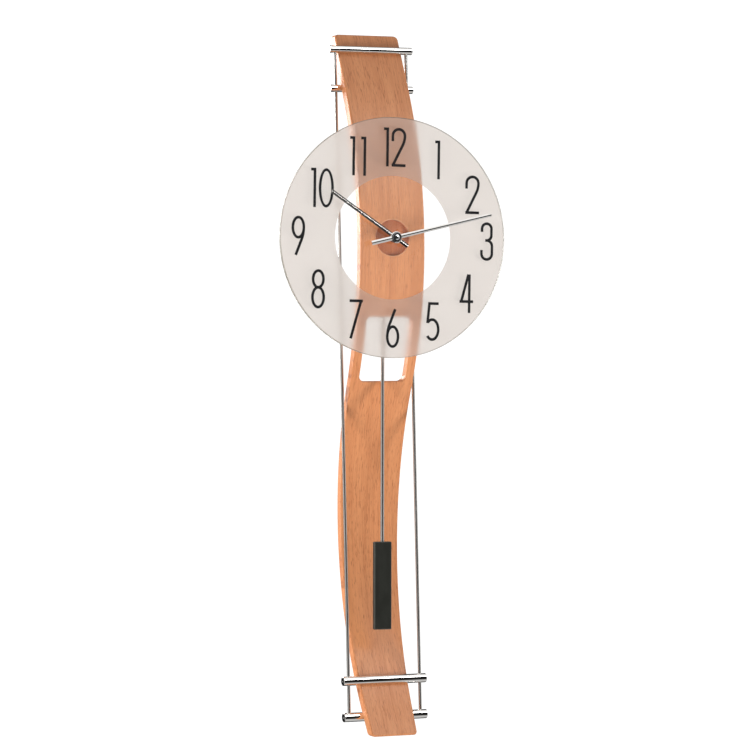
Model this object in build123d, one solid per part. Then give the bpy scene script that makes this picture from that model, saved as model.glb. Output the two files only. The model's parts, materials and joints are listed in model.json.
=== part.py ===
from build123d import *
import math
import os

# A pendulum wall clock: a glass dial on a bent beech board, with a quartz movement behind the
# board and a pendulum that swings through the board's window.
#
# Frame, in millimetres: +Z is up, -Y faces the viewer, and +X is to the viewer's right.
# The origin is the centre of the keyhole that hangs the clock, on the wall's surface (y = 0).

# ---------------------------------------------------------------- driving dimensions

# glass dial
GLASS_D = 260.0
GLASS_T = 4.0
GLASS_HOLE_D = 8.6
GLASS_BACK_Y = -90.0
DIAL_Z = -206.0

# numerals
NUMERAL_H = 42.0
NUMERAL_STROKE = 3.0
NUMERAL_GAP = 3.0
NUMERAL_PAIR_GAP = 6.8
NUMERALS_TURN = 1.3
INK_T = 0.15

# middle of each numeral, across and up from the dial's centre
NUMERAL_PLACES = {12: (0, 97.5), 1: (49.7, 85.8), 2: (91.4, 49.4), 3: (109.0, -1.0),
                  4: (85.6, -58.4), 5: (46.6, -89.6), 6: (0, -98.0), 7: (-42.5, -88.7),
                  8: (-86.2, -57.4), 9: (-109.6, -1.0), 10: (-82.9, 50.8), 11: (-42.6, 86.4)}

# the time that the hands show
HOUR = 10
MINUTE = 12.87
HOUR_HAND_LAG = 2.4

# bent board: a bow behind the dial and a belly, the other way round, below it
BOARD_T = 12.0
BOARD_W = 74.4
BOARD_FOOT_W = 52.8
BOARD_TOP_Z = 20.0
BOARD_FOOT_Z = -744.5
BOW_R = 351.0
BOW_DROP = 2.5
BELLY_R = 357.0
TOP_LEAN = 28.2
WAIST_LEAN = 25.0
WAIST_LENGTH = 22.6
FOOT_LEAN = 31.8
TOP_CORNER_R = 5.0
FOOT_CORNER_R = 4.0
ARRIS_R = 1.6

# window, recess and centre hole of the board
WINDOW_W = 54.0
WINDOW_TOP_Z = DIAL_Z - 85.0
WINDOW_FOOT_Z = DIAL_Z - 154.5
WINDOW_CORNER_R = 6.0
RECESS_D = 39.0
RECESS_DEPTH = 4.0

# side rods and crossbars
ROD_D = 3.5
ROD_X = 41.6
ROD_LEAN = 2.14
ROD_DIAL_Y = -36.8
ROD_STUB = 2.2
BAR_L = 97.0
UPPER_BAR_D = 8.0
LOWER_BAR_D = 10.0
TOP_BAR_Z = 2.4
UPPER_BAR_Z = -40.6
LOWER_BAR_Z = -686.0
BOTTOM_BAR_Z = -725.2
BAR_SCREW_X = 18.0

# wall hanger
HANGER_T = 1.5
HANGER_W = 28.0
HANGER_ARM_L = 56.0
HANGER_DROP = 30.0
KEYHOLE_D = 10.0
KEYHOLE_SLOT_W = 5.0
KEYHOLE_RISE = 8.0

# hands and their stack, as distances in front of the glass's middle plane
GLASS_MID_Y = GLASS_BACK_Y - GLASS_T / 2
# (tip, tail, width at the tip, width at the tail, boss diameter) of each hand
HOUR_BLADE = (88.0, 17.0, 4.1, 4.5, 12.0)
MINUTE_BLADE = (114.0, 29.3, 3.3, 4.9, 12.7)
HOUR_HAND_Y = 6.8
MINUTE_HAND_Y = 9.6
HAND_T = 1.2
HAND_EDGE_T = 0.4
BOSS_BEVEL = 0.8
RIDGE_HALF_W = 0.55
HOUR_RIDGE_DROP = 0.17
MINUTE_RIDGE_DROP = 0.02
CAP_D = 9.6
CAP_H = 2.0
CAP_RING_T = 1.2
CAP_BEVEL = 0.5
CAP_DOME_D = 7.0
CAP_DOME_START = 0.7
BUSHING_D = 7.4
HOUR_TUBE_D = 5.0
MINUTE_TUBE_D = 3.2
ARBOR_D = 1.0
FIT = 0.05

# movement: depths are measured from the flat seat milled into the board's back
SEAT_Y = GLASS_BACK_Y + BOARD_T
CASE_W = 56.0
CASE_TOP = 28.0
CASE_FOOT = -70.0
CASE_FLOOR = 2.0
CASE_WALL = 1.8
CASE_DEPTH = 20.2
COVER_T = 1.8
PLATE_FRONT = 19.2

# pendulum
PIVOT_Z = -38.0
PENDULUM_DEPTH = 18.0
PENDULUM_SWING = 0.6
PENDULUM_ROD_D = 4.0
BOB_W = 20.0
BOB_H = 95.5
BOB_T = 6.0
BOB_TOP = -329.3
BOB_CHAMFER = 0.8


# ---------------------------------------------------------------- helpers

def direction(lean):
    """Unit vector in the YZ plane that points up and leans back by `lean` degrees."""
    angle = math.radians(lean)
    return Vector(0, math.sin(angle), math.cos(angle))


def back_normal(lean):
    """Unit vector out of the back of a surface that leans back by `lean` degrees."""
    angle = math.radians(lean)
    return Vector(0, math.cos(angle), -math.sin(angle))


def rod_y(z):
    """Y of the two side rods at height z."""
    return ROD_DIAL_Y + math.tan(math.radians(ROD_LEAN)) * (z - DIAL_Z)


def turned(start, axis, diameter, length):
    """Cylinder of `length` from `start` along `axis`."""
    return extrude(Plane(origin=start, z_dir=axis) * Circle(diameter / 2), amount=length)


def disc(x, z, near, far, diameter):
    """Round piece of the movement, between two depths behind the seat."""
    start = Vector(x, SEAT_Y + near, DIAL_Z + z)
    return turned(start, (0, 1, 0), diameter, far - near)


def block(x_range, z_range, near, far):
    """Rectangular piece of the movement, between two depths behind the seat."""
    width = x_range[1] - x_range[0]
    height = z_range[1] - z_range[0]
    centre = Vector(sum(x_range) / 2, SEAT_Y + (near + far) / 2, DIAL_Z + sum(z_range) / 2)
    return Pos(centre) * Box(width, far - near, height)


def slab(sketch, back_y, thickness):
    """Flat sketch in X and Z, extruded forwards from back_y."""
    return extrude(Plane((0, back_y, DIAL_Z), x_dir=(1, 0, 0), z_dir=(0, -1, 0)) * sketch, amount=thickness)


def gear(x, z, teeth, module, near, far, turn=0.0):
    """Wheel with straight-sided short teeth; `turn` is where its first tooth points, in degrees
    anticlockwise from +X as the viewer sees it."""
    pitch_r = module * teeth / 2
    pitch = 2 * math.pi / teeth
    shape = ((-0.27, pitch_r - 0.95 * module), (-0.10, pitch_r + 0.7 * module),
             (0.10, pitch_r + 0.7 * module), (0.27, pitch_r - 0.95 * module))
    points = []
    for tooth in range(teeth):
        middle = math.radians(turn) + tooth * pitch
        for share, radius in shape:
            angle = middle + share * pitch
            points.append((x + radius * math.cos(angle), z + radius * math.sin(angle)))
    outline = make_face(Polyline(*points, close=True))
    return slab(outline, SEAT_Y + far, far - near)


def screw_blank(start, axis, length, shank_d, head_d, head_t):
    """Pan-head screw without its recess: `start` is under the head and `axis` points along
    the shank. The pieces that it holds are cut with it."""
    plane = Plane(origin=start, z_dir=axis)
    shank = Cylinder(shank_d / 2, length - shank_d / 2, align=(Align.CENTER, Align.CENTER, Align.MIN))
    tip = Pos(0, 0, length - shank_d / 2) * Cone(
        shank_d / 2, 0.2, shank_d / 2, align=(Align.CENTER, Align.CENTER, Align.MIN))
    head = Cylinder(head_d / 2, head_t, align=(Align.CENTER, Align.CENTER, Align.MAX))
    head = fillet(head.edges().sort_by(Axis.Z)[0], head_t * 0.6)
    return plane * (shank + tip + head)


def screw(start, axis, length, shank_d, head_d, head_t):
    """Pan-head screw with a cross recess."""
    shape = screw_blank(start, axis, length, shank_d, head_d, head_t)
    for turn in (0, 90):
        slot = Pos(0, 0, -head_t) * Rot(0, 0, turn) * Box(head_d * 0.55, head_d * 0.13, head_t)
        shape -= Plane(origin=start, z_dir=axis) * slot
    return shape


def pen(start, heading, *moves):
    """Edges of a pen path in a sketch. A move is a length, or a pair (radius, turn in degrees),
    where a positive turn is to the left."""
    here = Vector(*start)
    heading = math.radians(heading)
    edges = []
    for move in moves:
        ahead = (math.cos(heading), math.sin(heading))
        if isinstance(move, tuple):
            radius, turn = move
            edge = JernArc(start=here, tangent=ahead, radius=radius, arc_size=turn)
            heading += math.radians(turn)
        else:
            edge = Line(here, here + Vector(*ahead) * move)
        edges.append(edge)
        here = edge @ 1
    return edges


def stroke(*edges):
    """Broad line of a numeral along connected edges."""
    return trace(list(edges), NUMERAL_STROKE)


# ---------------------------------------------------------------- board

APEX_Z = DIAL_Z - BOW_DROP
BOW_CENTRE = Vector(0, GLASS_BACK_Y + BOARD_T / 2 + BOW_R, APEX_Z)
WAIST_TOP = BOW_CENTRE - back_normal(-WAIST_LEAN) * BOW_R
WAIST_FOOT = WAIST_TOP - direction(-WAIST_LEAN) * WAIST_LENGTH
BELLY_CENTRE = WAIST_FOOT - back_normal(-WAIST_LEAN) * BELLY_R


def board_edge(offset):
    """One long line of the board's side view, `offset` behind its middle surface."""
    bow_r = BOW_R - offset
    belly_r = BELLY_R + offset
    bow = [BOW_CENTRE - back_normal(lean) * bow_r for lean in (TOP_LEAN, 0, -WAIST_LEAN)]
    belly = [BELLY_CENTRE + back_normal(lean) * belly_r for lean in (-WAIST_LEAN, 0, FOOT_LEAN)]
    up = direction(TOP_LEAN)
    down = direction(FOOT_LEAN) * -1
    top = bow[0] + up * ((BOARD_TOP_Z - bow[0].Z) / up.Z)
    foot = belly[2] + down * ((BOARD_FOOT_Z - belly[2].Z) / down.Z)
    return [Line(top, bow[0]), ThreePointArc(*bow), Line(bow[2], belly[0]), ThreePointArc(*belly),
            Line(belly[2], foot)]


def board_outline():
    """Front view of the board: straight above the dial's centre, tapering below it in a curve."""
    half = BOARD_W / 2
    foot = BOARD_FOOT_W / 2
    top = BOARD_TOP_Z - DIAL_Z
    drop = BOARD_FOOT_Z - DIAL_Z
    right = TangentArc((half, 0), (foot, drop), tangent=(0, -1))
    left = TangentArc((-half, 0), (-foot, drop), tangent=(0, -1))
    lines = [Line((-half, top), (half, top)), Line((half, top), (half, 0)), right,
             Line((foot, drop), (-foot, drop)), left, Line((-half, 0), (-half, top))]
    outline = make_face(lines)
    corners = outline.vertices()
    outline = fillet(corners.sort_by(Axis.Y)[-2:], TOP_CORNER_R)
    return fillet(outline.vertices().sort_by(Axis.Y)[:2], FOOT_CORNER_R)


def window_outline():
    middle = (WINDOW_TOP_Z + WINDOW_FOOT_Z) / 2 - DIAL_Z
    return Pos(0, middle) * RectangleRounded(WINDOW_W, WINDOW_TOP_Z - WINDOW_FOOT_Z, WINDOW_CORNER_R)


def is_arris(edge):
    """True for the board's long, end and window edges, and not for the lines across its bends
    or the short lines through its thickness."""
    box = edge.bounding_box()
    if box.size.X < 0.01 and box.size.Z < 0.01:
        return False
    across = box.size.Y < 0.01 and box.size.Z < 0.01
    if not across:
        return True
    rims = (BOARD_TOP_Z, BOARD_FOOT_Z, WINDOW_TOP_Z, WINDOW_FOOT_Z)
    return any(abs(edge.center().Z - rim) < 0.01 for rim in rims)


def plain_board():
    """The bent board with its window and rounded edges."""
    front = board_edge(-BOARD_T / 2)
    back = board_edge(BOARD_T / 2)
    ends = [Line(front[0] @ 0, back[0] @ 0), Line(front[-1] @ 1, back[-1] @ 1)]
    sheet = extrude(make_face(front + back + ends), amount=BOARD_W, both=True, dir=(1, 0, 0))
    board = sheet & slab(board_outline(), 0, 200)
    board -= slab(window_outline(), 0, 200)
    return fillet(board.edges().filter_by(is_arris), ARRIS_R)


def recess_cutter():
    """Round recess round the bushing, with a slightly eased rim."""
    floor = Vector(0, GLASS_BACK_Y + RECESS_DEPTH, DIAL_Z)
    pocket = turned(floor, (0, -1, 0), RECESS_D, 20)
    rim = Plane(origin=(0, GLASS_BACK_Y - 0.6, DIAL_Z), z_dir=(0, 1, 0)) * Cone(
        RECESS_D / 2 + 1.6, RECESS_D / 2 - 0.4, 2, align=(Align.CENTER, Align.CENTER, Align.MIN))
    return pocket + rim


# ---------------------------------------------------------------- rods, bars and their screws

def side_rod(side):
    foot = Vector(side * ROD_X, rod_y(BOTTOM_BAR_Z), BOTTOM_BAR_Z) - direction(ROD_LEAN) * ROD_STUB
    length = (TOP_BAR_Z - BOTTOM_BAR_Z) / math.cos(math.radians(ROD_LEAN)) + 2 * ROD_STUB
    return turned(foot, direction(ROD_LEAN), ROD_D, length)


def bar_centre(z):
    return Vector(0, rod_y(z), z)


def crossbar(z, diameter):
    """Turned bar with eased ends and a centre mark in each end."""
    bar = Plane(origin=bar_centre(z), z_dir=(1, 0, 0)) * Cylinder(diameter / 2, BAR_L)
    bar = chamfer(bar.edges().filter_by(GeomType.CIRCLE), 0.5)
    for side in (-1, 1):
        end = bar_centre(z) + Vector(side * BAR_L / 2, 0, 0)
        bar -= Plane(origin=end, z_dir=(-side, 0, 0)) * Cone(
            1.1, 0.3, 1.2, align=(Align.CENTER, Align.CENTER, Align.MIN))
    return bar


def lower_bar_lean():
    """Lean of the belly's surface where the lower crossbar rests on it."""
    reach = bar_centre(LOWER_BAR_Z) - BELLY_CENTRE
    return math.degrees(math.atan2(-reach.Z, reach.Y))


def front_bar_fixings():
    """Screws through the board from behind, into the two bars in front of it."""
    fixings = []
    for z, lean in ((TOP_BAR_Z, TOP_LEAN), (LOWER_BAR_Z, lower_bar_lean())):
        normal = back_normal(lean)
        for side in (-1, 1):
            start = bar_centre(z) + Vector(side * BAR_SCREW_X, 0, 0) + normal * (BOARD_T + 2)
            fixings.append((start, normal * -1, BOARD_T + 2, 3.0, 5.6, 2.0))
    return fixings


def rear_bar_fixings():
    """Screws through the two bars behind the board, into the board."""
    fixings = []
    bars = ((UPPER_BAR_Z, TOP_LEAN, UPPER_BAR_D), (BOTTOM_BAR_Z, FOOT_LEAN, LOWER_BAR_D))
    for z, lean, diameter in bars:
        normal = back_normal(lean)
        for side in (-1, 1):
            start = bar_centre(z) + Vector(side * BAR_SCREW_X, 0, 0) + normal * (diameter / 2 - 1)
            fixings.append((start, normal * -1, diameter + 7, 3.0, 5.6, 2.0))
    return fixings


# ---------------------------------------------------------------- wall hanger and bumpers

def hanger_fold():
    """Inner line of the hanger's fold: where its wall leg meets its board leg."""
    rear = board_edge(BOARD_T / 2 + HANGER_T)[0] @ 0
    up = direction(TOP_LEAN)
    return rear + up * ((-HANGER_T - rear.Y) / up.Y)


def wall_hanger():
    """Steel strip folded over: one leg lies on the board's back and the other on the wall."""
    fold = hanger_fold()
    down = direction(TOP_LEAN) * -HANGER_ARM_L
    out = back_normal(TOP_LEAN) * -HANGER_T
    wall_foot = fold - Vector(0, 0, HANGER_DROP)
    lines = [Line(wall_foot, fold), Line(fold, fold + down), Line(fold + down, fold + down + out),
             Line(fold + down + out, fold + out),
             ThreePointArc(fold + out, fold + Vector(0, -0.6, 0.8) * HANGER_T, fold + Vector(0, HANGER_T, 0)),
             Line(fold + Vector(0, HANGER_T, 0), wall_foot + Vector(0, HANGER_T, 0)),
             Line(wall_foot + Vector(0, HANGER_T, 0), wall_foot)]
    strip = extrude(make_face(lines), amount=HANGER_W / 2, both=True, dir=(1, 0, 0))
    keyhole = turned((0, -HANGER_T - 1, 0), (0, 1, 0), KEYHOLE_D, HANGER_T + 1)
    keyhole += turned((0, -HANGER_T - 1, KEYHOLE_RISE), (0, 1, 0), KEYHOLE_SLOT_W, HANGER_T + 1)
    keyhole += Pos(0, -(HANGER_T + 1) / 2, KEYHOLE_RISE / 2) * Box(KEYHOLE_SLOT_W, HANGER_T + 1, KEYHOLE_RISE)
    return strip - keyhole


def hanger_fixings():
    fixings = []
    for along in (37.0, 50.0):
        start = hanger_fold() + direction(TOP_LEAN) * -along
        fixings.append((start, back_normal(TOP_LEAN) * -1, 11.0, 3.0, 6.0, 2.0))
    return fixings


def wall_bumpers():
    """Two soft pads that keep the belly of the board off the wall, before they are cut to its
    back."""
    return [turned((side * 15, -3, BELLY_CENTRE.Z), (0, 1, 0), 11, 3) for side in (-1, 1)]


# ---------------------------------------------------------------- glass, numerals and hands

def glass_dial():
    plate = turned((0, GLASS_BACK_Y, DIAL_Z), (0, -1, 0), GLASS_D, GLASS_T)
    plate = chamfer(plate.edges().filter_by(GeomType.CIRCLE), 0.5)
    return plate - turned((0, GLASS_BACK_Y + 1, DIAL_Z), (0, -1, 0), GLASS_HOLE_D, GLASS_T + 2)


TOP_LINE = NUMERAL_H - NUMERAL_STROKE / 2
FOOT_LINE = NUMERAL_STROKE / 2


def oval(centre, x_radius, y_radius):
    ring = Pos(*centre) * Ellipse(x_radius + NUMERAL_STROKE / 2, y_radius + NUMERAL_STROKE / 2)
    return ring - Pos(*centre) * Ellipse(x_radius - NUMERAL_STROKE / 2, y_radius - NUMERAL_STROKE / 2)


def one():
    return 5.9, stroke(*pen((0, TOP_LINE), 0, 4.4), Line((4.4, TOP_LINE), (4.4, 0)))


def two():
    bow = pen((1.5, 27.5), 90, 6, (7, -180), (22, -27), 24.7)
    return 17.2, stroke(*bow) + stroke(*pen((0.4, FOOT_LINE), 0, 16.2))


def three():
    upper = pen((1.9, 31.4), 90, 3.5, (5.6, -180), 7.1, (5.6, -90), 1.5)
    lower = pen((5.9, 22.2), 0, 1.8, (6.2, -90), 8.3, (6.2, -180), 4)
    return 15.4, stroke(*upper) + stroke(*lower)


def four():
    stem = stroke(Line((11.6, NUMERAL_H), (11.6, 0)))
    slope = stroke(Line((10.4, NUMERAL_H), (1.9, 11.2)))
    return 16.3, stem + slope + stroke(Line((0.2, 12.4), (16.3, 12.4)))


def five():
    bowl = EllipticalCenterArc((7.3, 12.3), 7.2, 10.8, start_angle=-140, arc_size=275)
    stem = stroke(Line((4.0, NUMERAL_H), (1.8, 19.2)))
    return 16.0, stroke(bowl) + stem + stroke(Line((2.6, TOP_LINE), (14.6, TOP_LINE)))


def six():
    stem = pen((10.4, 41.9), 249, 18, (35.4, 21))
    return 15.5, stroke(*stem) + oval((7.75, 12.2), 6.25, 10.7)


def seven():
    return 15.3, stroke(Line((0, TOP_LINE), (15.3, TOP_LINE))) + stroke(Line((13.5, 41.6), (1.7, 0)))


def eight():
    return 15.8, oval((7.9, 31.6), 5.9, 8.9) + oval((7.9, 12.05), 6.4, 10.55)


def nine():
    width, six_shape = six()
    return width, Pos(width, NUMERAL_H) * Rot(0, 0, 180) * six_shape


def zero():
    return 17.2, oval((8.6, NUMERAL_H / 2), 7.1, NUMERAL_H / 2 - NUMERAL_STROKE / 2)


NUMERALS = {1: (one,), 2: (two,), 3: (three,), 4: (four,), 5: (five,), 6: (six,), 7: (seven,),
            8: (eight,), 9: (nine,), 10: (one, zero), 11: (one, one), 12: (one, two)}


def numeral(hour):
    """One hour's digits, upright on the dial, which is clamped a little turned."""
    glyphs = NUMERALS[hour]
    gap = NUMERAL_PAIR_GAP if glyphs == (one, one) else NUMERAL_GAP
    shapes = []
    width = -gap
    for glyph in glyphs:
        glyph_w, shape = glyph()
        shapes.append(Pos(width + gap, 0) * shape)
        width += gap + glyph_w
    across, up = NUMERAL_PLACES[hour]
    place = Rot(0, 0, -NUMERALS_TURN) * Pos(across - width / 2, up - NUMERAL_H / 2)
    return [slab(place * shape, GLASS_BACK_Y - GLASS_T, INK_T) for shape in shapes]


def hand(blade_size, ridge_drop, bore, near, angle):
    """Straight hand with two bevels that meet in a crowned ridge, and a round bevelled boss."""
    tip, tail, tip_w, tail_w, boss_d = blade_size
    shoulder = -HAND_T + ridge_drop

    def section(z, width):
        plane = Plane(origin=(0, 0, z), x_dir=(1, 0, 0), z_dir=(0, 0, 1))
        half_w = width / 2
        ridge = ThreePointArc((RIDGE_HALF_W, shoulder), (0, -HAND_T),
                              (-RIDGE_HALF_W, shoulder))
        rest = Polyline((-RIDGE_HALF_W, shoulder), (-half_w, -HAND_EDGE_T), (-half_w, 0),
                        (half_w, 0), (half_w, -HAND_EDGE_T), (RIDGE_HALF_W, shoulder))
        return plane * make_face(ridge + rest)

    blade = loft([section(-tail, tail_w), section(tip, tip_w)], ruled=True)
    boss = turned((0, 0, 0), (0, -1, 0), boss_d, HAND_T)
    boss = chamfer(boss.edges().filter_by(GeomType.CIRCLE).sort_by(Axis.Y)[0], BOSS_BEVEL)
    shape = blade + boss - turned((0, 1, 0), (0, -1, 0), bore, HAND_T + 2)
    return Pos(0, GLASS_MID_Y - near, DIAL_Z) * Rot(0, angle, 0) * shape


def cap_nut():
    """Nut in front of the minute hand: a domed middle in a bevelled ring, on the minute tube."""
    seat_y = GLASS_MID_Y - MINUTE_HAND_Y - HAND_T
    nut = turned((0, seat_y, DIAL_Z), (0, -1, 0), CAP_D, CAP_RING_T)
    nut = chamfer(nut.edges().filter_by(GeomType.CIRCLE).sort_by(Axis.Y)[0], CAP_BEVEL)
    rise = CAP_H - CAP_DOME_START
    ball_r = ((CAP_DOME_D / 2) ** 2 + rise ** 2) / (2 * rise)
    ball = Pos(0, seat_y - CAP_H + ball_r, DIAL_Z) * Sphere(ball_r)
    nut += ball & turned((0, seat_y - CAP_DOME_START, DIAL_Z), (0, -1, 0), CAP_DOME_D, CAP_H)
    return nut - turned((0, seat_y + 1, DIAL_Z), (0, -1, 0), MINUTE_TUBE_D, 2.5)


def dial_nut():
    """Thin round nut that clamps the glass."""
    nut = turned((0, GLASS_MID_Y - 2.6, DIAL_Z), (0, -1, 0), 10.4, 2.2)
    nut = chamfer(nut.edges().filter_by(GeomType.CIRCLE), 0.4)
    return nut - turned((0, 0, DIAL_Z), (0, -1, 0), BUSHING_D, 200)


def dial_bush():
    """Plastic bush between the glass and the bushing, with a flange under the nut."""
    bush = turned((0, GLASS_BACK_Y, DIAL_Z), (0, -1, 0), GLASS_HOLE_D, GLASS_T)
    bush += turned((0, GLASS_MID_Y - 2, DIAL_Z), (0, -1, 0), 11.0, 0.6)
    return bush - turned((0, 0, DIAL_Z), (0, -1, 0), BUSHING_D, 200)


# ---------------------------------------------------------------- movement: case and plates

SECONDS_AT = (-3.63, 13.87)
THIRD_AT = (5.10, 8.83)
INTERMEDIATE_AT = (-10.72, 12.62)
ROTOR_AT = (-17.30, 10.20)
MINUTE_WHEEL_AT = (11.03, -1.94)
SETTING_AT = (17.33, 8.97)
PLATE_POSTS = ((-23.5, 22.0), (5.5, 22.5), (-8.0, -10.8))
BOARD_POST = (21.0, 21.0)
CASE_SCREWS = ((-20.0, -62.0), (20.0, -62.0))
COVER_SCREWS = ((-24.6, -36.0), (24.6, -36.0))
BATTERY_Z = -21.0
BATTERY_DEPTH = 11.0
BATTERY_D = 14.5
BATTERY_L = 49.5
LEVER_SLOT_W = 12.0
BATTERY_OPENING_W = 51.4
BATTERY_OPENING_H = 15.0


def rounded_block(near, far, inset):
    """Block over the whole of the case's outline, drawn in by `inset`."""
    height = CASE_TOP - CASE_FOOT
    outline = RectangleRounded(CASE_W - 2 * inset, height - 2 * inset, 3.5 - inset)
    return slab(Pos(0, (CASE_TOP + CASE_FOOT) / 2) * outline, SEAT_Y + far, far - near)


def battery_solid(extra=0.0):
    start = Vector(-BATTERY_L / 2 - extra, SEAT_Y + BATTERY_DEPTH, DIAL_Z + BATTERY_Z)
    return turned(start, (1, 0, 0), BATTERY_D + 2 * extra, BATTERY_L + 2 * extra)


def movement_case():
    """Open tray with the studs, posts and battery cradle moulded on its floor."""
    case = rounded_block(0, CASE_DEPTH, 0) - rounded_block(CASE_FLOOR, CASE_DEPTH + 1, CASE_WALL)
    for x, z in PLATE_POSTS:
        case += disc(x, z, CASE_FLOOR - 0.5, PLATE_FRONT, 3.6)
    for x, z in COVER_SCREWS:
        case += disc(x, z, CASE_FLOOR - 0.5, CASE_DEPTH, 4.4)
    case += disc(-22.7, -3.3, CASE_FLOOR - 0.5, 15.0, 2.4)
    case += disc(*BOARD_POST, CASE_FLOOR - 0.5, 17.2, 4.0)
    case += disc(*MINUTE_WHEEL_AT, CASE_FLOOR - 0.5, 6.6, 2.0)
    case += disc(0, PIVOT_Z, CASE_FLOOR - 0.5, 15.6, 5.0)
    case += disc(0, -50.0, CASE_FLOOR - 0.5, 8.0, 4.0)
    for x in (-12.0, 12.0):
        case += block((x - 1, x + 1), (BATTERY_Z - 7.4, BATTERY_Z + 7.4), CASE_FLOOR - 0.5, 9)
    case -= battery_solid(0.05)
    for x, z in (SECONDS_AT, THIRD_AT, INTERMEDIATE_AT):
        case -= disc(x, z, 1.0, CASE_FLOOR + 1, ARBOR_D + 2 * FIT)
    case -= disc(*ROTOR_AT, 1.0, CASE_FLOOR + 1, 0.8 + 2 * FIT)
    case -= disc(*SETTING_AT, 1.0, CASE_FLOOR + 1, 1.2 + 2 * FIT)
    case -= disc(0, 0, -1, CASE_FLOOR + 1, BUSHING_D)
    case -= disc(0, PIVOT_Z, 10.0, 16.0, 2.0)
    case -= block((-LEVER_SLOT_W / 2, LEVER_SLOT_W / 2), (CASE_FOOT - 1, CASE_FOOT + 2.5), 15.8, CASE_DEPTH + 1)
    return case


def case_fixings():
    """Two screws that fix the case to the board."""
    fixings = []
    for x, z in CASE_SCREWS:
        start = Vector(x, SEAT_Y + CASE_FLOOR, DIAL_Z + z)
        fixings.append((start, (0, -1, 0), 6.5, 2.4, 4.6, 1.6))
    return fixings


def cover_fixings():
    fixings = []
    for x, z in COVER_SCREWS:
        start = Vector(x, SEAT_Y + CASE_DEPTH + COVER_T, DIAL_Z + z)
        fixings.append((start, (0, -1, 0), 8.0, 1.8, 3.6, 1.2))
    return fixings


def plate_fixings():
    fixings = []
    for x, z in PLATE_POSTS:
        start = Vector(x, SEAT_Y + PLATE_FRONT + 0.2, DIAL_Z + z)
        fixings.append((start, (0, -1, 0), 6.0, 1.4, 2.6, 0.7))
    return fixings


def rear_cover():
    """Flat cover with openings for the battery and the setting knob."""
    cover = rounded_block(CASE_DEPTH, CASE_DEPTH + COVER_T, 0)
    half_w = BATTERY_OPENING_W / 2
    half_h = BATTERY_OPENING_H / 2
    cover -= block((-half_w, half_w), (BATTERY_Z - half_h, BATTERY_Z + half_h), CASE_DEPTH - 1,
                   CASE_DEPTH + COVER_T + 1)
    cover -= disc(*SETTING_AT, CASE_DEPTH - 1, CASE_DEPTH + COVER_T + 1, 2.4 + 2 * FIT)
    cover -= disc(0, PIVOT_Z, CASE_DEPTH - 1, CASE_DEPTH + 1, 2.0)
    for row in range(5):
        z = 16.0 - 3.0 * row
        cover -= block((-22, -8), (z - 0.6, z + 0.6), CASE_DEPTH + COVER_T - 0.6, CASE_DEPTH + COVER_T + 1)
    return cover


def bearing_plate():
    """Rear plate of the train, with a hole for each arbor."""
    plate = block((-26.0, 14.6), (-13.0, 25.4), PLATE_FRONT, PLATE_FRONT + 0.9)
    plate = chamfer(plate.edges().filter_by(Axis.Y), 2.0)
    for x, z in ((0, 0), SECONDS_AT, THIRD_AT, INTERMEDIATE_AT):
        plate -= disc(x, z, PLATE_FRONT - 1, PLATE_FRONT + 2, ARBOR_D + 2 * FIT)
    plate -= disc(*ROTOR_AT, PLATE_FRONT - 1, PLATE_FRONT + 2, 0.8 + 2 * FIT)
    return plate


def centre_bushing():
    """Threaded tube from the case through the board and the glass."""
    front = GLASS_MID_Y - 5.8
    flange_y = SEAT_Y + CASE_FLOOR
    tube = turned((0, flange_y + 0.6, DIAL_Z), (0, -1, 0), BUSHING_D, flange_y + 0.6 - front)
    tube += turned((0, flange_y + 0.6, DIAL_Z), (0, -1, 0), 10.0, 0.6)
    return tube - turned((0, flange_y + 2, DIAL_Z), (0, -1, 0), HOUR_TUBE_D + 0.2, 60)


# ---------------------------------------------------------------- movement: wheels

MOTION_MODULE = 0.35
HOUR_MODULE = MOTION_MODULE * 64 / 60


def mesh_turn(driver_turn, driver_teeth, driver_at, follower_teeth, follower_at):
    """Turn of a wheel, in degrees, that puts a gap where the driver has a tooth."""
    toward = math.degrees(math.atan2(follower_at[1] - driver_at[1], follower_at[0] - driver_at[0]))
    offset = (toward - driver_turn) % (360 / driver_teeth)
    gap = toward + 180 + offset * driver_teeth / follower_teeth
    return gap + 180 / follower_teeth


def cannon_pinion():
    """Minute tube with its pinion, turned by friction on the centre arbor."""
    front = GLASS_MID_Y - MINUTE_HAND_Y - HAND_T - 1.5
    rear = SEAT_Y + 7.4
    tube = turned((0, rear, DIAL_Z), (0, -1, 0), MINUTE_TUBE_D, rear - front)
    pinion = gear(0, 0, 16, MOTION_MODULE, 5.0, 6.8)
    return tube + pinion - turned((0, rear + 1, DIAL_Z), (0, -1, 0), ARBOR_D + 2 * FIT, 30)


def minute_wheel():
    turn = mesh_turn(0, 16, (0, 0), 48, MINUTE_WHEEL_AT)
    wheel = gear(*MINUTE_WHEEL_AT, 48, MOTION_MODULE, 5.0, 6.2, turn)
    wheel += gear(*MINUTE_WHEEL_AT, 12, HOUR_MODULE, 2.6, 5.0, turn)
    return wheel - disc(*MINUTE_WHEEL_AT, 2, 8, 2.0 + 2 * FIT)


def hour_wheel():
    """Hour wheel with the tube that carries the hour hand."""
    pinion_turn = mesh_turn(0, 16, (0, 0), 48, MINUTE_WHEEL_AT)
    turn = mesh_turn(pinion_turn, 12, MINUTE_WHEEL_AT, 48, (0, 0))
    front = GLASS_MID_Y - HOUR_HAND_Y - HAND_T
    rear = SEAT_Y + 4.2
    wheel = gear(0, 0, 48, HOUR_MODULE, 3.0, 4.2, turn)
    wheel += turned((0, rear, DIAL_Z), (0, -1, 0), HOUR_TUBE_D, rear - front)
    return wheel - turned((0, rear + 1, DIAL_Z), (0, -1, 0), MINUTE_TUBE_D + 0.2, 60)


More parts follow.
